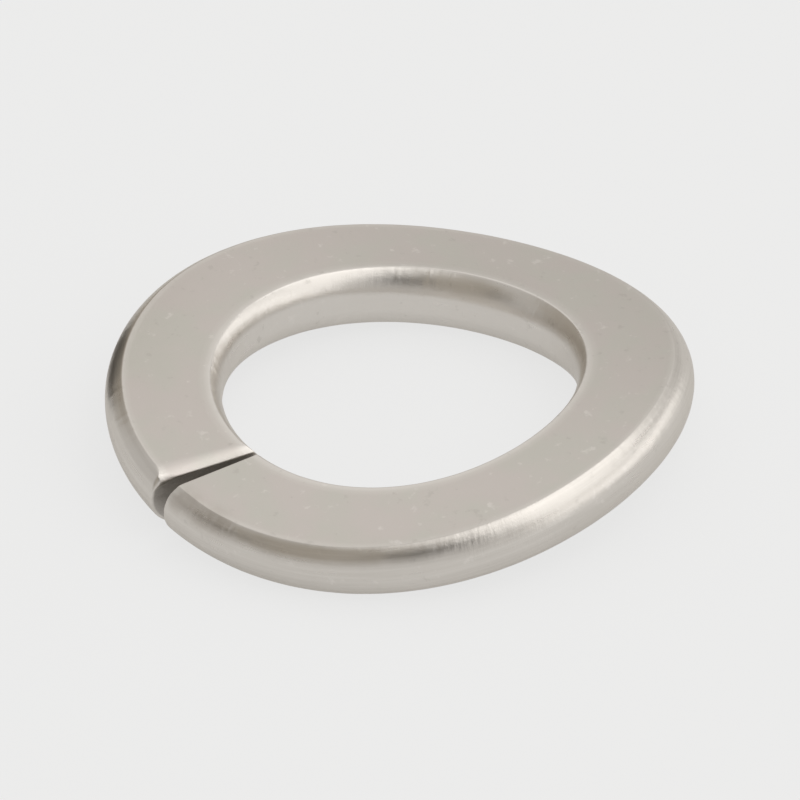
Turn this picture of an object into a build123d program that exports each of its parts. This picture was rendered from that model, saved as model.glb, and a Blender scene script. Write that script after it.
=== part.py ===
from build123d import *
from math import atan, cos, degrees, radians, sin, sqrt, tan
import os

# A waved split lock washer for an M10 screw. Crowned spring strip is coiled on edge round a mandrel,
# parted with a skewed cut, and pressed into a wave of two crests and two troughs. Sizes are in
# millimetres and degrees. The bore is on Z, the split faces -Y, and the troughs rest on z = 0.

# Strip, before it is coiled
strip_width = 3.48  # over both crowned edges
outer_crown = 0.48  # how far the edge that becomes the rim bulges past the flats
inner_crown = 0.41  # and the edge that goes against the mandrel
corner_radius = 0.20  # where a flat meets a crowned edge

# Ring, as it comes off the mandrel
bore_diameter = 10.5  # across the land that the mandrel presses on the inner edge
land_depth = 0.03  # how deep the land goes into the inner crown
inner_thickness = 1.93  # coiling thickens the strip along its inner edge
outer_thickness = 1.80  # and thins it along its outer edge

# Wave
wave_height = 0.80  # trough to crest, along the middle of the strip
crest_difference = 0.14  # the higher crest stands this much above the other
high_crest_angle = 30.0  # round the ring from +X

# Split
split_angle = 272.1  # where the middle of the gap crosses the middle of the strip
split_skew = 11.9  # the gap runs this much clockwise of outwards
gap_at_bore = 0.30  # between the ends, which stand in a V
gap_at_rim = 0.65
skew_reach = 90.0  # degrees of the ring, from each end, over which its sections turn back square

# Lip where the shear draws down the upper edge of the end that lies clockwise of the gap
lip_length = 0.45
lip_drop = 0.22

# Bevel that the coiler's guide rubs along the upper rim, next to the other end
bevel_length = 2.0
bevel_on_flat = 0.43  # how far in from the corner it reaches at the gap
bevel_taper = 1.2  # length over which that reach falls to nothing
bevel_down_crown = 0.28  # how far it goes down the crowned edge
bevel_run_out = 0.30  # over which it rises clear of the strip at its far end

section_count = 31

bore_radius = bore_diameter / 2
middle_radius = bore_radius - land_depth + strip_width / 2
rim_radius = middle_radius + strip_width / 2
outer_reach = strip_width / 2 - outer_crown  # of the flats, from the middle of the strip
inner_reach = strip_width / 2 - inner_crown
flat_slope = (inner_thickness - outer_thickness) / 2 / (inner_reach + outer_reach)
gap_slope = (gap_at_rim - gap_at_bore) / (rim_radius - bore_radius)
gap_at_middle = gap_at_bore + gap_slope * (middle_radius - bore_radius)
half_gap_angle = degrees(gap_at_middle / 2 / middle_radius)
first_angle = split_angle + half_gap_angle
last_angle = split_angle + 360 - half_gap_angle
first_skew = split_skew - degrees(atan(gap_slope / 2))
last_skew = split_skew + degrees(atan(gap_slope / 2))


def wave(angle):
    """How high the middle of the strip stands, and how steeply it climbs along the ring."""
    turn = radians(angle - high_crest_angle)
    swing = wave_height / 2 + crest_difference / 2 * cos(turn)
    swing_change = -crest_difference / 2 * sin(turn)
    height = swing * cos(2 * turn)
    climb = swing_change * cos(2 * turn) - 2 * swing * sin(2 * turn)
    return height, climb / middle_radius


def across_strip(angle, skew=0):
    """The place of a section at one angle: X outwards, or askew of it, and Y up through the strip."""
    height, climb = wave(angle)
    lean = 2 * height / middle_radius  # the wave's height grows with the square of the radius
    out = Vector(cos(radians(angle)), sin(radians(angle)), 0)
    across = out + Vector(0, 0, lean)
    back = Vector(out.Y, -out.X, -climb)  # along the strip, clockwise
    square = Plane(origin=out * middle_radius + Vector(0, 0, height), x_dir=across, z_dir=back)
    return square * Rot(0, -skew, 0)


def strip_section(skew=0):
    """The strip's section: two flats that close a little towards the rim, and two crowned edges."""
    wider = 1 / cos(radians(skew))
    inner_top = (-inner_reach * wider, inner_thickness / 2)
    outer_top = (outer_reach * wider, outer_thickness / 2)
    outer_bottom = (outer_reach * wider, -outer_thickness / 2)
    inner_bottom = (-inner_reach * wider, -inner_thickness / 2)
    face = make_face(
        [
            Line(inner_top, outer_top),
            ThreePointArc(outer_top, (strip_width / 2 * wider, 0), outer_bottom),
            Line(outer_bottom, inner_bottom),
            ThreePointArc(inner_bottom, (-strip_width / 2 * wider, 0), inner_top),
        ]
    )
    return fillet(face.vertices(), corner_radius)


def skew_at(angle):
    """How much a section is turned: as much as the cut at either end, and not at all further round."""
    near_first = max(0, 1 - (angle - first_angle) / skew_reach)
    near_last = max(0, 1 - (last_angle - angle) / skew_reach)
    return first_skew * near_first + last_skew * near_last


def waved_ring():
    """The strip carried round from one end to the other, with the land that the mandrel presses."""
    turn = last_angle - first_angle
    stations = [first_angle + turn * i / (section_count - 1) for i in range(section_count)]
    ring = loft([across_strip(angle, skew_at(angle)) * strip_section(skew_at(angle)) for angle in stations])
    reach_up = wave_height + crest_difference + inner_thickness
    return ring - Cylinder(bore_radius, 2 * reach_up)


def lip_cutter():
    """What the lip lacks: a bar along the end's upper edge, with a round that meets the flat smoothly."""
    level = outer_thickness / 2 + flat_slope * outer_reach  # of the flat, over the middle of the strip
    flat = across_strip(last_angle, last_skew) * Pos(0, level) * Rot(0, 0, -degrees(atan(flat_slope)))
    in_gap = -gap_at_bore / 2
    round_down = TangentArc((0, lip_length), (-lip_drop, 0), tangent=(0, -1))
    outline = Polyline(
        (-lip_drop, 0), (-lip_drop, in_gap), (lip_drop, in_gap), (lip_drop, lip_length), (0, lip_length)
    )
    return extrude(flat * Plane.YZ * make_face([round_down, outline]), amount=strip_width, both=True)


def bevel_profile(along=0):
    """Section of the bevel's cutter, at a length along the rim from the end that it starts on."""
    half = outer_thickness / 2
    crown_radius = (half**2 + outer_crown**2) / (2 * outer_crown)
    low = half - bevel_down_crown
    on_flat = bevel_on_flat * max(0, 1 - along / bevel_taper)
    inner = Vector(outer_reach - on_flat, half + flat_slope * on_flat)
    outer = Vector(strip_width / 2 - crown_radius + sqrt(crown_radius**2 - low**2), low)
    beyond = outer + (outer - inner) / 2
    above = Vector(0, half)
    return make_face(Polyline(inner, beyond, beyond + above, inner + above, close=True))


def bevel_cutter():
    """What the guide rubs off: a bar that follows the wave over the corner above the rim and runs out."""
    in_gap = across_strip(first_angle - degrees(gap_at_rim / rim_radius)) * bevel_profile()
    lengths = [bevel_length * i / 10 for i in range(11)]
    bar = [across_strip(first_angle + degrees(along / rim_radius)) * bevel_profile(along) for along in lengths]
    clear = first_angle + degrees((bevel_length + bevel_run_out) / rim_radius)
    lifted = across_strip(clear) * Pos(0, bevel_down_crown) * bevel_profile(bevel_length)
    return loft([in_gap] + bar + [lifted], ruled=True)


washer = waved_ring() - lip_cutter() - bevel_cutter()
washer = Pos(0, 0, -washer.bounding_box().min.Z) * washer
os.makedirs("parts", exist_ok=True)
export_step(washer, "parts/wave_washer.step")
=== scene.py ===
import math
import bpy
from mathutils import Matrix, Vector


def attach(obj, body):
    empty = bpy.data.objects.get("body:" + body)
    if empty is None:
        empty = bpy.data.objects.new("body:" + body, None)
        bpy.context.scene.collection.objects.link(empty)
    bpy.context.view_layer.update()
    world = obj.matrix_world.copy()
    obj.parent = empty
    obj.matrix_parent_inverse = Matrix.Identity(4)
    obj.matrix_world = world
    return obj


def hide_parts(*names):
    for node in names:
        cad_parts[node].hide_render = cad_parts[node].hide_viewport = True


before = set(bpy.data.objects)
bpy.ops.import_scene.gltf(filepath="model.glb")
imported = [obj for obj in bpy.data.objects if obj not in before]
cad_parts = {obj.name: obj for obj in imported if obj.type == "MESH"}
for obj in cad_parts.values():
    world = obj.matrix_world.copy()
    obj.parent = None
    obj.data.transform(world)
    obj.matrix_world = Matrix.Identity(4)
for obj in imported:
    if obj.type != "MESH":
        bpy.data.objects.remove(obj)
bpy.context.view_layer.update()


# ---------------------------------------------------------------------------------------------
# The strip. Stainless spring strip is drawn through a die that leaves two flats and two crowned
# edges. Its outline is drawn here once, in millimetres, as a curve: across the strip on X and
# up through it on Y, from the crown of the outer edge over the top to the inner edge and back.

strip_width = 3.48
outer_crown = 0.48
inner_crown = 0.41
corner_radius = 0.10
inner_thickness = 1.93
outer_thickness = 1.80
crown_steps = 22  # points along each half of a crowned edge
corner_steps = 7
flat_steps = 8
outer_reach = strip_width / 2 - outer_crown
inner_reach = strip_width / 2 - inner_crown
flat_slope = (inner_thickness - outer_thickness) / 2 / (inner_reach + outer_reach)
middle_level = outer_thickness / 2 + flat_slope * outer_reach


def crown_circle(crown, thickness):
    """Radius of a crowned edge, and how far its centre lies from the middle of the strip."""
    half = thickness / 2
    radius = (half * half + crown * crown) / (2 * crown)
    return radius, strip_width / 2 - radius


def corner_on(side, crown, thickness):
    """The corner between the upper flat and one crowned edge: its centre, and where the crown ends."""
    facing = math.pi / 2 - side * math.atan(flat_slope)
    radius, centre = crown_circle(crown, thickness)
    flat_at = math.cos(facing) * (strip_width / 2 - crown) + math.sin(facing) * thickness / 2
    short = radius - corner_radius
    start = facing - math.acos((flat_at - corner_radius - math.cos(facing) * centre) / short)
    place = Vector((centre + short * math.cos(start), short * math.sin(start)))
    return place, start, facing


def arc_points(centre, radius, start, end, steps):
    """Points along an arc, without its last one."""
    turns = [start + (end - start) * i / steps for i in range(steps)]
    return [(centre[0] + radius * math.cos(t), centre[1] + radius * math.sin(t)) for t in turns]


def upper_half(side, crown, thickness):
    """Half of the strip's top on one side: the crowned edge, its corner, and the flat to the middle."""
    radius, centre = crown_circle(crown, thickness)
    place, start, facing = corner_on(side, crown, thickness)
    points = arc_points((centre, 0), radius, 0, start, crown_steps)
    points += arc_points(place, corner_radius, start, facing, corner_steps)
    edge = Vector((place.x + corner_radius * math.cos(facing), place.y + corner_radius * math.sin(facing)))
    middle = Vector((0, middle_level))
    points += [tuple(edge.lerp(middle, i / flat_steps)) for i in range(flat_steps)]
    return points


def strip_outline():
    """The whole outline, closed by its first point again."""
    outer = upper_half(1, outer_crown, outer_thickness)
    inner = [(-x, y) for x, y in upper_half(-1, inner_crown, inner_thickness)]
    top = outer + [(0, middle_level)] + inner[::-1]
    bottom = [(x, -y) for x, y in top[::-1]]
    return top + bottom[1:]


outline = strip_outline()
section_curve = bpy.data.curves.new("strip_section", "CURVE")
section_spline = section_curve.splines.new("POLY")
section_spline.points.add(len(outline) - 1)
for point, (across, up) in zip(section_spline.points, outline):
    point.co = (across, up, 0, 1)
section = bpy.data.objects.new("strip_section", section_curve)
bpy.context.scene.collection.objects.link(section)


# ---------------------------------------------------------------------------------------------
# The washer. The strip is coiled on edge round a mandrel, which presses a narrow land into the
# inner edge, parted with one skewed cut, pressed into a wave of two crests and two troughs, and
# tumbled. The tree below does the same, in millimetres and degrees, and ends in metres.

washer_sizes = {
    "Bore diameter": 10.5,
    "Land depth": 0.03,
    "Strip width": strip_width,
    "Middle thickness": 2 * middle_level,
    "Flat slope": flat_slope,
    "Outer crown": outer_crown,
    "Outer thickness": outer_thickness,
    "Wave height": 0.80,
    "Crest difference": 0.14,
    "High crest angle": 30.0,
    "Split angle": 272.1,
    "Split skew": 11.9,
    "Gap at bore": 0.30,
    "Gap at rim": 0.65,
    "Lip length": 0.45,
    "Lip drop": 0.20,
    "Worn corner": 0.12,
    "Edge break": 0.035,
    "Bevel length": 2.0,
    "Bevel on flat": 0.07,
    "Bevel taper": 1.2,
    "Bevel down crown": 0.20,
    "Bevel run out": 0.30,
    "Ripple": 0.0016,
    "Dent depth": 0.010,
    "Fracture": 0.035,
}


class Wire:
    """A value that runs through a node tree. Sums on wires add the Math nodes that work them out."""

    def __init__(self, tree, socket):
        self.tree = tree
        self.socket = socket

    def __add__(self, other):
        return sum_of(self.tree, "ADD", self, other)

    def __radd__(self, other):
        return sum_of(self.tree, "ADD", other, self)

    def __sub__(self, other):
        return sum_of(self.tree, "SUBTRACT", self, other)

    def __rsub__(self, other):
        return sum_of(self.tree, "SUBTRACT", other, self)

    def __mul__(self, other):
        return sum_of(self.tree, "MULTIPLY", self, other)

    def __rmul__(self, other):
        return sum_of(self.tree, "MULTIPLY", other, self)

    def __truediv__(self, other):
        return sum_of(self.tree, "DIVIDE", self, other)

    def __neg__(self):
        return sum_of(self.tree, "MULTIPLY", self, -1.0)


def plug_in(tree, socket, value):
    """Feeds a socket from a wire, or sets it to a plain value."""
    if isinstance(value, Wire):
        tree.links.new(value.socket, socket)
    else:
        socket.default_value = value


def sum_of(tree, operation, *values):
    """A Math node on wires and numbers."""
    node = tree.nodes.new("ShaderNodeMath")
    node.operation = operation
    for socket, value in zip(node.inputs, values):
        plug_in(tree, socket, value)
    return Wire(tree, node.outputs[0])


def vector_of(tree, operation, *values):
    """A Vector Math node on wires and vectors."""
    node = tree.nodes.new("ShaderNodeVectorMath")
    node.operation = operation
    for socket, value in zip(node.inputs, values):
        plug_in(tree, socket, value)
    return Wire(tree, node.outputs[0])


def scaled(tree, vector, factor):
    """A vector times a number."""
    node = tree.nodes.new("ShaderNodeVectorMath")
    node.operation = "SCALE"
    plug_in(tree, node.inputs[0], vector)
    plug_in(tree, node.inputs["Scale"], factor)
    return Wire(tree, node.outputs[0])


def joined(tree, x, y, z):
    """A vector from its three parts."""
    node = tree.nodes.new("ShaderNodeCombineXYZ")
    for socket, value in zip(node.inputs, (x, y, z)):
        plug_in(tree, socket, value)
    return Wire(tree, node.outputs[0])


def parts_of(tree, vector):
    """The three parts of a vector."""
    node = tree.nodes.new("ShaderNodeSeparateXYZ")
    plug_in(tree, node.inputs[0], vector)
    return [Wire(tree, socket) for socket in node.outputs]


def ramp(tree, value, start, end, low=0.0, high=1.0, kind="SMOOTHSTEP"):
    """A value that goes from low to high as another goes from start to end, and stays there."""
    node = tree.nodes.new("ShaderNodeMapRange")
    node.interpolation_type = kind
    inputs = {"Value": value, "From Min": start, "From Max": end, "To Min": low, "To Max": high}
    for name, number in inputs.items():
        plug_in(tree, node.inputs[name], number)
    return Wire(tree, node.outputs[0])


def grain(tree, place, scale, detail=2.0, roughness=0.5):
    """Noise around 0.5."""
    node = tree.nodes.new("ShaderNodeTexNoise")
    plug_in(tree, node.inputs["Vector"], place)
    node.inputs["Scale"].default_value = scale
    node.inputs["Detail"].default_value = detail
    node.inputs["Roughness"].default_value = roughness
    return Wire(tree, node.outputs[0])


def geometry_node(tree, kind, mesh=None, **settings):
    """A node that passes geometry on, with its mesh plugged in and its settings made."""
    node = tree.nodes.new(kind)
    for name, value in settings.items():
        setattr(node, name, value)
    if mesh is not None:
        tree.links.new(mesh, node.inputs[0])
    return node


def keep_value(tree, mesh, name, value, domain="POINT"):
    """Stores a value on the mesh under a name that the material reads."""
    node = geometry_node(tree, "GeometryNodeStoreNamedAttribute", mesh, domain=domain, data_type="FLOAT")
    node.inputs["Name"].default_value = name
    plug_in(tree, node.inputs["Value"], value)
    return node.outputs[0]


def stored(tree, name):
    """Reads such a value back inside the tree."""
    node = geometry_node(tree, "GeometryNodeInputNamedAttribute", data_type="FLOAT")
    node.inputs["Name"].default_value = name
    return Wire(tree, node.outputs[0])


def new_tree(name, sizes):
    """An empty geometry tree with a named input for the section, the material and each size."""
    tree = bpy.data.node_groups.new(name, "GeometryNodeTree")
    tree.interface.new_socket("Washer", in_out="OUTPUT", socket_type="NodeSocketGeometry")
    tree.interface.new_socket("Section", in_out="INPUT", socket_type="NodeSocketObject")
    tree.interface.new_socket("Finish", in_out="INPUT", socket_type="NodeSocketMaterial")
    for size in sizes:
        tree.interface.new_socket(size, in_out="INPUT", socket_type="NodeSocketFloat")
    entry = tree.nodes.new("NodeGroupInput")
    return tree, {socket.name: Wire(tree, socket) for socket in entry.outputs if socket.name}


def sampled(tree, geometry, data_type, value, index):
    """A value of the section's point in each column."""
    node = tree.nodes.new("GeometryNodeSampleIndex")
    node.data_type = data_type
    node.domain = "POINT"
    tree.links.new(geometry, node.inputs["Geometry"])
    tree.links.new(value, node.inputs["Value"])
    plug_in(tree, node.inputs["Index"], index)
    return Wire(tree, node.outputs[0])


def strip_grid(tree, given, rows, columns):
    """A grid with one column for each point of the section, and each point's place in it."""
    grid = tree.nodes.new("GeometryNodeMeshGrid")
    grid.inputs["Vertices X"].default_value = rows
    grid.inputs["Vertices Y"].default_value = columns
    index = Wire(tree, tree.nodes.new("GeometryNodeInputIndex").outputs[0])
    column = sum_of(tree, "FLOORED_MODULO", index, float(columns))
    row = sum_of(tree, "FLOOR", (index + 0.5) / float(columns))
    info = tree.nodes.new("GeometryNodeObjectInfo")
    plug_in(tree, info.inputs["Object"], given["Section"])
    position = tree.nodes.new("GeometryNodeInputPosition").outputs[0]
    drawn = sampled(tree, info.outputs["Geometry"], "FLOAT_VECTOR", position, column)
    length = tree.nodes.new("GeometryNodeSplineParameter").outputs["Length"]
    round_it = sampled(tree, info.outputs["Geometry"], "FLOAT", length, column)
    across, up, _ = parts_of(tree, drawn)
    at_points = tree.nodes.new("GeometryNodeFieldOnDomain")
    at_points.domain = "POINT"
    plug_in(tree, at_points.inputs[0], round_it)
    return grid.outputs["Mesh"], row / float(rows - 1), across, up, Wire(tree, at_points.outputs[0])


def rounding(tree, distance, radius):
    """How far an edge of that radius draws the surface in, at a distance from the end."""
    into = sum_of(tree, "MAXIMUM", radius - distance, 0.0)
    return radius - sum_of(tree, "SQRT", sum_of(tree, "MAXIMUM", radius * radius - into * into, 0.0))


def wave_plane(tree, given, angle, middle_radius):
    """The strip's middle at one angle, in radians, and the directions across it and up through it."""
    turn = angle - sum_of(tree, "RADIANS", given["High crest angle"])
    swing = given["Wave height"] / 2.0 + given["Crest difference"] / 2.0 * sum_of(tree, "COSINE", turn)
    change = -(given["Crest difference"] / 2.0 * sum_of(tree, "SINE", turn))
    twice_cos = sum_of(tree, "COSINE", turn * 2.0)
    twice_sin = sum_of(tree, "SINE", turn * 2.0)
    height = swing * twice_cos
    climb = (change * twice_cos - 2.0 * swing * twice_sin) / middle_radius
    lean = 2.0 * height / middle_radius
    cos_of = sum_of(tree, "COSINE", angle)
    sin_of = sum_of(tree, "SINE", angle)
    back = vector_of(tree, "NORMALIZE", joined(tree, sin_of, -cos_of, -climb))
    crosswise = joined(tree, cos_of, sin_of, lean)
    upward = vector_of(tree, "NORMALIZE", vector_of(tree, "CROSS_PRODUCT", back, crosswise))
    outward = vector_of(tree, "CROSS_PRODUCT", upward, back)
    middle = joined(tree, cos_of * middle_radius, sin_of * middle_radius, height)
    return middle, outward, upward


def build_washer_tree(sizes, rows, columns):
    """The whole tree, from the strip to the finished washer."""
    tree, given = new_tree("coil_strip_into_waved_washer", sizes)
    mesh, along, across, up, round_it = strip_grid(tree, given, rows, columns)

    # The first and last rows close the ends: they shrink to a point in the middle of the end face.
    cap = 0.03  # share of the rows that each end face takes
    first_face = ramp(tree, along, 0.0, cap, kind="LINEAR")
    last_face = ramp(tree, along, 1.0 - cap, 1.0, 1.0, 0.0, "LINEAR")
    fullness = sum_of(tree, "MINIMUM", first_face, last_face)
    on_end = sum_of(tree, "LESS_THAN", fullness, 0.999)
    crowding = 0.93  # how much closer the rows stand near the ends, where 1 is as close as can be
    even = ramp(tree, along, cap, 1.0 - cap, kind="LINEAR")
    share = even - sum_of(tree, "SINE", even * math.tau) * (crowding / math.tau)

    bore_radius = given["Bore diameter"] / 2.0
    half_width = given["Strip width"] / 2.0
    half_thickness = given["Middle thickness"] / 2.0
    middle_radius = bore_radius - given["Land depth"] + half_width
    slope = (given["Gap at rim"] - given["Gap at bore"]) / (middle_radius + half_width - bore_radius)
    gap_at_middle = given["Gap at bore"] + slope * (middle_radius - bore_radius)
    length = middle_radius * math.tau

    # Next to the first end, the coiler's guide has rubbed a bevel on the corner above the rim.
    from_first = share * length
    from_last = (1.0 - share) * length
    half_rim = given["Outer thickness"] / 2.0
    crown = given["Outer crown"]
    flat_reach = half_width - crown
    crown_radius = (half_rim * half_rim + crown * crown) / (2.0 * crown)
    low = half_rim - given["Bevel down crown"]
    on_flat = given["Bevel on flat"] * sum_of(tree, "MAXIMUM", 1.0 - from_first / given["Bevel taper"], 0.0)
    inner_x = flat_reach - on_flat
    inner_y = half_rim + given["Flat slope"] * on_flat
    outer_x = half_width - crown_radius + sum_of(tree, "SQRT", crown_radius * crown_radius - low * low)
    bevel_normal = vector_of(tree, "NORMALIZE", joined(tree, inner_y - low, outer_x - inner_x, 0.0))
    bevel_x, bevel_y, _ = parts_of(tree, bevel_normal)
    proud = (across - inner_x) * bevel_x + (up - inner_y) * bevel_y
    bevel_end = given["Bevel length"] + given["Bevel run out"]
    lifted = ramp(tree, from_first, given["Bevel length"], bevel_end, 0.0, given["Bevel down crown"])
    blend = 0.02  # how softly the bevel and the lip meet the rest
    rubbed = sum_of(tree, "SMOOTH_MAX", proud - lifted, 0.0, blend)
    across = across - rubbed * bevel_x
    up = up - rubbed * bevel_y

    # The shear draws the upper edge of the last end down into a lip, and the lip's outer corner has
    # worn away. The other edges of both ends stay nearly sharp.
    into_lip = sum_of(tree, "MAXIMUM", 1.0 - from_last / given["Lip length"], 0.0)
    lip_curve = 1.6  # 1 is a plain slope, and 2 a parabola
    drop = given["Lip drop"] * sum_of(tree, "POWER", into_lip, lip_curve)
    near_rim = ramp(tree, across, flat_reach - 0.35, flat_reach + 0.05)
    near_top = ramp(tree, up, half_rim * 0.35, half_rim * 0.8)
    at_corner = near_rim * near_top
    last_break = given["Edge break"] + given["Worn corner"] * at_corner
    up = sum_of(tree, "SMOOTH_MIN", up, half_thickness - given["Flat slope"] * across - drop, blend)
    drawn_in = rounding(tree, from_last, last_break) + rounding(tree, from_first, given["Edge break"])
    across = across * (1.0 - drawn_in / half_width) * fullness
    up = up * (1.0 - drawn_in / half_thickness) * fullness

    # The gap is skewed and widens towards the rim, so where the strip starts depends on the radius.
    radius = middle_radius + across
    skewed = across * sum_of(tree, "TANGENT", sum_of(tree, "RADIANS", given["Split skew"]))
    half_gap = (gap_at_middle + slope * across) / 2.0
    start = sum_of(tree, "RADIANS", given["Split angle"]) + (half_gap - skewed) / radius
    angle = start + share * (math.tau - 2.0 * half_gap / radius)
    middle, outward, upward = wave_plane(tree, given, angle, middle_radius)
    off_middle = vector_of(tree, "ADD", scaled(tree, outward, across), scaled(tree, upward, up))
    place = vector_of(tree, "ADD", middle, off_middle)

    # The mandrel presses the inner crown back to the bore.
    x, y, z = parts_of(tree, place)
    reach = sum_of(tree, "SQRT", x * x + y * y)
    land_blend = 0.05
    pressed = sum_of(tree, "SMOOTH_MAX", reach, bore_radius, land_blend) / reach
    place = joined(tree, x * pressed, y * pressed, z)

    # Values for the finish: distances along and round the strip, the crowned edges, the guide's bevel,
    # which gets a painted brown reflection, the inner crowned edge, which gets a painted sheen, and the
    # ends.
    off_flat = sum_of(tree, "ABSOLUTE", across) - flat_reach
    mesh = keep_value(tree, mesh, "along_strip", from_first)
    mesh = keep_value(tree, mesh, "round_strip", round_it, domain="CORNER")
    mesh = keep_value(tree, mesh, "crowned", ramp(tree, off_flat, -0.22, 0.06))
    near_guide = ramp(tree, across - inner_x, -0.45, 0.10) * ramp(tree, up, 0.20, 0.55)
    setting_in = ramp(tree, from_first, 0.0, 0.25)
    dying_out = ramp(tree, from_first, bevel_end - 0.9, bevel_end + 0.1, 1.0, 0.0)
    mesh = keep_value(tree, mesh, "guided", near_guide * (setting_in * dying_out))
    mesh = keep_value(tree, mesh, "inner_painted_sheen", ramp(tree, across, -1.05, -1.30))
    mesh = keep_value(tree, mesh, "end_face", on_end)

    moved = geometry_node(tree, "GeometryNodeSetPosition", mesh)
    plug_in(tree, moved.inputs["Position"], place)
    merged = geometry_node(tree, "GeometryNodeMergeByDistance", moved.outputs[0])
    merged.inputs["Distance"].default_value = 0.0004  # closes the seams and the middle of each end

    # Tumbling leaves the surface a little rippled, with small dents, and the parted ends are torn.
    here = Wire(tree, tree.nodes.new("GeometryNodeInputPosition").outputs[0])
    normal = Wire(tree, tree.nodes.new("GeometryNodeInputNormal").outputs[0])
    end_here = stored(tree, "end_face")
    ripple_scale, dent_scale, tear_scale = 1.6, 0.75, 5.0  # about as many to a millimetre
    undented = 0.62  # share of the places for a dent that have none
    swell = (grain(tree, here, ripple_scale, 2.0) - 0.5) * 2.0 * given["Ripple"]
    ripple = swell * (1.0 + 2.0 * stored(tree, "crowned"))
    cells = tree.nodes.new("ShaderNodeTexVoronoi")
    plug_in(tree, cells.inputs["Vector"], here)
    cells.inputs["Scale"].default_value = dent_scale
    chosen, _, size = parts_of(tree, Wire(tree, cells.outputs["Color"]))
    dent = ramp(tree, Wire(tree, cells.outputs["Distance"]), 0.0, 0.06 + size * 0.10, 1.0, 0.0)
    dent = dent * sum_of(tree, "GREATER_THAN", chosen, undented) * size * given["Dent depth"]
    torn = (grain(tree, here, tear_scale, 4.0, 0.7) - 0.55) * given["Fracture"]
    amount = (ripple - dent) * (1.0 - end_here) + torn * end_here
    rough = geometry_node(tree, "GeometryNodeSetPosition", merged.outputs[0])
    plug_in(tree, rough.inputs["Offset"], scaled(tree, normal, amount))

    box = geometry_node(tree, "GeometryNodeBoundBox", rough.outputs[0])
    _, _, lowest = parts_of(tree, Wire(tree, box.outputs["Min"]))
    rested = geometry_node(tree, "GeometryNodeSetPosition", rough.outputs[0])
    plug_in(tree, rested.inputs["Offset"], joined(tree, 0.0, 0.0, -lowest))
    metres = geometry_node(tree, "GeometryNodeTransform", rested.outputs[0])
    metres.inputs["Scale"].default_value = (0.001, 0.001, 0.001)
    smooth = geometry_node(tree, "GeometryNodeSetShadeSmooth", metres.outputs[0])
    realized = geometry_node(tree, "GeometryNodeRealizeInstances", smooth.outputs[0])
    finished = geometry_node(tree, "GeometryNodeSetMaterial", realized.outputs[0])
    plug_in(tree, finished.inputs["Material"], given["Finish"])
    leave = tree.nodes.new("NodeGroupOutput")
    tree.links.new(finished.outputs[0], leave.inputs[0])
    return tree


def grow(name, tree, inputs):
    """Runs a tree with these inputs and keeps what it makes as a plain mesh."""
    seed_mesh = bpy.data.meshes.new(name + "_seed")
    maker = bpy.data.objects.new(name + "_maker", seed_mesh)
    bpy.context.scene.collection.objects.link(maker)
    modifier = maker.modifiers.new("make", "NODES")
    modifier.node_group = tree
    for item in tree.interface.items_tree:
        if item.in_out == "INPUT":
            modifier[item.identifier] = inputs[item.name]
    graph = bpy.context.evaluated_depsgraph_get()
    mesh = bpy.data.meshes.new_from_object(maker.evaluated_get(graph))
    bpy.data.objects.remove(maker)
    bpy.data.meshes.remove(seed_mesh)
    piece = bpy.data.objects.new(name, mesh)
    bpy.context.scene.collection.objects.link(piece)
    return piece


def kept(tree, name):
    """A value that the washer's mesh carries."""
    node = tree.nodes.new("ShaderNodeAttribute")
    node.attribute_name = name
    return Wire(tree, node.outputs["Fac"])


def blended(tree, factor, first, second):
    """One colour where the factor is 0 and another where it is 1."""
    node = tree.nodes.new("ShaderNodeMix")
    node.data_type = "RGBA"
    plug_in(tree, node.inputs["Factor"], factor)
    for socket, value in zip((node.inputs[6], node.inputs[7]), (first, second)):
        plug_in(tree, socket, value)
    return Wire(tree, node.outputs[2])


def bumped(tree, height, strength, distance, under=None):
    """A bump on top of another."""
    node = tree.nodes.new("ShaderNodeBump")
    node.inputs["Strength"].default_value = strength
    node.inputs["Distance"].default_value = distance
    plug_in(tree, node.inputs["Height"], height)
    if under is not None:
        plug_in(tree, node.inputs["Normal"], under)
    return Wire(tree, node.outputs[0])


mirror_tint = (0.87, 0.85, 0.82, 1)
flat_rosy = (0.63, 0.583, 0.545, 1)
flat_olive = (0.615, 0.592, 0.54, 1)
drawn_dull = (0.64, 0.605, 0.56, 1)
drawn_bright = (0.71, 0.675, 0.63, 1)
# A brighter tone for the whole inner crowned edge: painted sheen.
inner_sheen_painted = (0.715, 0.68, 0.635, 1)
# A brown tone for the guide's bevel next to the first end: painted reflection.
bevel_reflection_painted = (0.47, 0.425, 0.375, 1)
speck_bright = (0.78, 0.74, 0.70, 1)
speck_dark = (0.50, 0.47, 0.43, 1)
torn_dark = (0.40, 0.375, 0.35, 1)
torn_bright = (0.60, 0.57, 0.53, 1)
torn_roughness = 0.48


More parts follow.
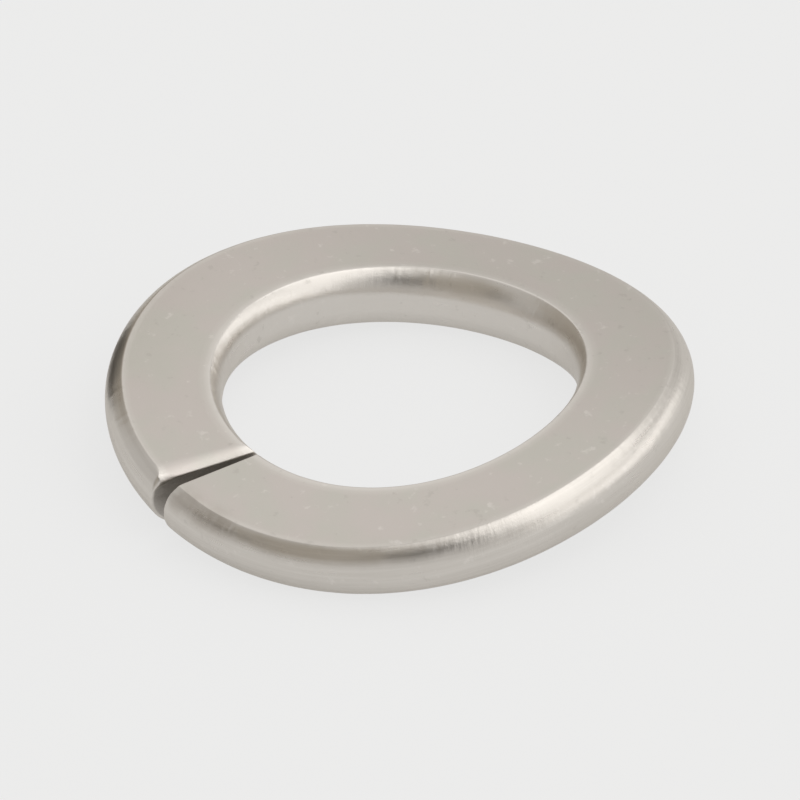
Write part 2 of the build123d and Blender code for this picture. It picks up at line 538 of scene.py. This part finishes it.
def steel_finish():
    """Satin stainless steel: tumbled flats, brighter crowned edges with draw lines, and torn ends."""
    material = bpy.data.materials.new("satin_spring_steel")
    material.use_nodes = True
    tree = material.node_tree
    steel = tree.nodes["Principled BSDF"]
    steel.inputs["Metallic"].default_value = 1.0
    steel.inputs["Specular Tint"].default_value = mirror_tint
    coordinates = tree.nodes.new("ShaderNodeTexCoord")
    in_mm = scaled(tree, Wire(tree, coordinates.outputs["Object"]), 1000.0)
    crowned = kept(tree, "crowned")
    end_face = ramp(tree, kept(tree, "end_face"), 0.3, 0.9)
    crosswise = joined(tree, kept(tree, "along_strip") * 3.6, kept(tree, "round_strip") * 0.7, 5.0)
    lengthwise = joined(tree, kept(tree, "along_strip") * 0.22, kept(tree, "round_strip") * 7.0, 0.0)

    clouds = grain(tree, in_mm, 0.55, 3.0)
    fine = grain(tree, in_mm, 22.0, 4.0, 0.65)
    drawn = grain(tree, lengthwise, 1.0, 4.0, 0.6)
    pressed = grain(tree, crosswise, 1.0, 3.0, 0.6)

    flat_tone = blended(tree, ramp(tree, clouds, 0.35, 0.65), flat_rosy, flat_olive)
    worked_tone = blended(tree, ramp(tree, drawn, 0.3, 0.75), drawn_dull, drawn_bright)
    tone = blended(tree, crowned, flat_tone, worked_tone)
    # The inner crowned edge takes a brighter tone all round: a painted sheen that brightens its
    # reflections.
    tone = blended(tree, kept(tree, "inner_painted_sheen"), tone, inner_sheen_painted)
    # Brown blotches over the guide's bevel next to the first end: a painted darker reflection, not a stain.
    blotches = grain(tree, in_mm, 1.7, 3.0, 0.6)
    bevel_reflection_share = kept(tree, "guided") * ramp(tree, blotches, 0.30, 0.60, 0.15, 0.55)
    tone = blended(tree, bevel_reflection_share, tone, bevel_reflection_painted)
    specks = grain(tree, in_mm, 2.4, 3.0, 0.6)
    tone = blended(tree, ramp(tree, specks, 0.62, 0.74, 0.0, 0.5), tone, speck_bright)
    tone = blended(tree, ramp(tree, specks, 0.26, 0.38, 0.4, 0.0), tone, speck_dark)
    torn_tone = blended(tree, fine, torn_dark, torn_bright)
    plug_in(tree, steel.inputs["Base Color"], blended(tree, end_face, tone, torn_tone))

    satin = 0.40 + (clouds - 0.5) * 0.10 + (fine - 0.5) * 0.16
    bright = 0.30 + (drawn - 0.5) * 0.14 + (clouds - 0.5) * 0.12
    roughness = satin + (bright - satin) * crowned
    plug_in(tree, steel.inputs["Roughness"], roughness + (torn_roughness - roughness) * end_face)

    # Draw lines along the crowned edges, cross marks over them in patches, and fine pits everywhere.
    lines = bumped(tree, drawn * crowned, 0.25, 0.00001)
    patchy = ramp(tree, grain(tree, in_mm, 0.9, 1.0), 0.42, 0.62, 0.45, 1.0)
    lines = bumped(tree, pressed * crowned * patchy, 0.6, 0.00003, lines)
    pitted = bumped(tree, fine, 0.35, 0.000012, lines)
    plug_in(tree, steel.inputs["Normal"], pitted)
    return material


rows_round = 600
washer_tree = build_washer_tree(washer_sizes, rows_round, len(outline))
washer_inputs = {**washer_sizes, "Section": section, "Finish": steel_finish()}
washer = grow("spring_washer", washer_tree, washer_inputs)
bpy.data.objects.remove(section)
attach(washer, "root")
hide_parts("wave_washer")


# ---------------------------------------------------------------------------------------------
# The floor. A sheet of matt white paper that the washer lies loose on. It is the table's, and no
# part of the washer.

floor_size = 6.0
paper_colour = (0.74, 0.74, 0.735, 1)
bright_paper = (0.868, 0.868, 0.865, 1)
bright_to_the_eye = 0.84  # share of the glow in what the camera sees
bright_to_the_metal = 0.58  # and in what the washer mirrors


def sheet(name, width, tall):
    """A flat rectangle round its own origin."""
    mesh = bpy.data.meshes.new(name)
    x, y = width / 2, tall / 2
    mesh.from_pydata([(-x, -y, 0), (x, -y, 0), (x, y, 0), (-x, y, 0)], [], [(0, 1, 2, 3)])
    piece = bpy.data.objects.new(name, mesh)
    bpy.context.scene.collection.objects.link(piece)
    return piece


def lit_paper():
    """Matt paper. A soft glow evens it out for the eye and lets the metal see it as plain white."""
    material = bpy.data.materials.new("paper")
    material.use_nodes = True
    tree = material.node_tree
    matt = tree.nodes["Principled BSDF"]
    matt.inputs["Base Color"].default_value = paper_colour
    matt.inputs["Roughness"].default_value = 0.9
    matt.inputs["Specular IOR Level"].default_value = 0.0
    glow = tree.nodes.new("ShaderNodeEmission")
    glow.inputs["Color"].default_value = bright_paper
    rays = tree.nodes.new("ShaderNodeLightPath")
    seen = Wire(tree, rays.outputs["Is Camera Ray"]) * bright_to_the_eye
    mirrored = Wire(tree, rays.outputs["Is Glossy Ray"]) * bright_to_the_metal
    mix = tree.nodes.new("ShaderNodeMixShader")
    plug_in(tree, mix.inputs[0], seen + mirrored)
    tree.links.new(matt.outputs[0], mix.inputs[1])
    tree.links.new(glow.outputs[0], mix.inputs[2])
    tree.links.new(mix.outputs[0], tree.nodes["Material Output"].inputs[0])
    return material


floor = sheet("floor", floor_size, floor_size)
floor.data.materials.append(lit_paper())


# ---------------------------------------------------------------------------------------------
# The camera. A long lens on a stand looks down at the washer, with the split at the lower left and
# the floor filling the view.

view_round = 326.0
view_height = 34.5
view_roll = -2.3
view_distance = 0.512
aim = Vector((0, 0, 0.00135))
field = 0.0236  # how wide the view is at the washer
sensor = 36.0


def direction(round_z, height):
    """A unit vector at an angle round Z and a height above the floor, in degrees."""
    turn, climb = math.radians(round_z), math.radians(height)
    level = math.cos(climb)
    return Vector((level * math.cos(turn), level * math.sin(turn), math.sin(climb)))


camera_data = bpy.data.cameras.new("camera")
camera_data.sensor_width = sensor
camera_data.lens = sensor * view_distance / field
camera_data.clip_start = 0.01
camera = bpy.data.objects.new("camera", camera_data)
bpy.context.scene.collection.objects.link(camera)
towards = direction(view_round, view_height)
camera.location = aim + towards * view_distance
camera.rotation_euler = towards.to_track_quat("Z", "Y").to_matrix().to_4x4().to_euler()
camera.rotation_euler.rotate_axis("Z", math.radians(view_roll))
bpy.context.scene.camera = camera


# ---------------------------------------------------------------------------------------------
# The light. A pale room with a large soft box on the right, a narrow one overhead, a low wall on the
# right and a dim one behind. Dark shapes stand in front and on the left, two of them small and close,
# as the other washers are. Angles go round Z from the camera's side, and up from the floor.

room_colour = (1.0, 0.985, 0.965, 1)
room_level = 0.62
card_tint = (1.0, 0.92, 0.8)
card_edge = 0.55  # how far out a card starts to fade, where 1 is its rim


def soft_box(name, round_camera, height, width, tall, distance, level, roll=0):
    """An area lamp that faces the washer. Its level is how bright it looks, where 1 is white."""
    lamp = bpy.data.lights.new(name, "AREA")
    lamp.shape = "RECTANGLE"
    lamp.size = width
    lamp.size_y = tall
    lamp.energy = level * math.pi * width * tall
    box = bpy.data.objects.new(name, lamp)
    bpy.context.scene.collection.objects.link(box)
    facing = direction(view_round + round_camera, height)
    box.location = facing * distance
    box.rotation_euler = facing.to_track_quat("Z", "Y").to_euler()
    box.rotation_euler.rotate_axis("Z", math.radians(roll))
    box.visible_camera = False


def dark_card(name, round_camera, height, width, tall, distance, level):
    """A soft-edged card that only the metal sees."""
    card = sheet(name, width, tall)
    facing = direction(view_round + round_camera, height)
    card.location = facing * distance
    card.rotation_euler = facing.to_track_quat("Z", "Y").to_euler()
    for ray in ("camera", "diffuse", "shadow", "transmission", "volume_scatter"):
        setattr(card, "visible_" + ray, False)
    material = bpy.data.materials.new(name)
    material.use_nodes = True
    tree = material.node_tree
    tree.nodes.remove(tree.nodes["Principled BSDF"])
    coordinates = tree.nodes.new("ShaderNodeTexCoord")
    x, y, _ = parts_of(tree, Wire(tree, coordinates.outputs["Object"]))
    x = x / (width / 2)
    y = y / (tall / 2)
    out = sum_of(tree, "SQRT", x * x + y * y)
    glow = tree.nodes.new("ShaderNodeEmission")
    glow.inputs["Color"].default_value = (*[level * share for share in card_tint], 1)
    clear = tree.nodes.new("ShaderNodeBsdfTransparent")
    mix = tree.nodes.new("ShaderNodeMixShader")
    plug_in(tree, mix.inputs[0], ramp(tree, out, card_edge, 1.0))
    tree.links.new(glow.outputs[0], mix.inputs[1])
    tree.links.new(clear.outputs[0], mix.inputs[2])
    tree.links.new(mix.outputs[0], tree.nodes["Material Output"].inputs[0])
    card.data.materials.append(material)


# Name, angle round, angle up, width, height, distance and level
soft_box("key", 71, 50, 0.78, 0.50, 0.6, 0.76, roll=18)
soft_box("ceiling", 24, 68, 0.46, 0.22, 0.6, 0.60)
soft_box("right_wall", 88, 12, 1.5, 0.26, 0.8, 0.90)
soft_box("back_wall", 175, 54, 1.4, 0.9, 0.8, 0.27)
dark_card("room_on_the_left", -42, 33, 1.25, 0.90, 0.8, 0.42)
dark_card("shape_in_front", 1, 31, 0.30, 0.36, 0.6, 0.0)
dark_card("shape_on_the_left", -66, 25, 0.15, 0.28, 0.6, 0.05)
dark_card("things_behind_left", -135, 20, 0.026, 0.022, 0.022, 0.40)
dark_card("shape_behind_left", -117, 7, 0.0066, 0.0060, 0.0125, 0.07)

world = bpy.data.worlds.new("room")
bpy.context.scene.world = world
world.use_nodes = True
background = world.node_tree.nodes["Background"]
background.inputs["Color"].default_value = room_colour
background.inputs["Strength"].default_value = room_level

bpy.context.scene.view_settings.view_transform = "Standard"
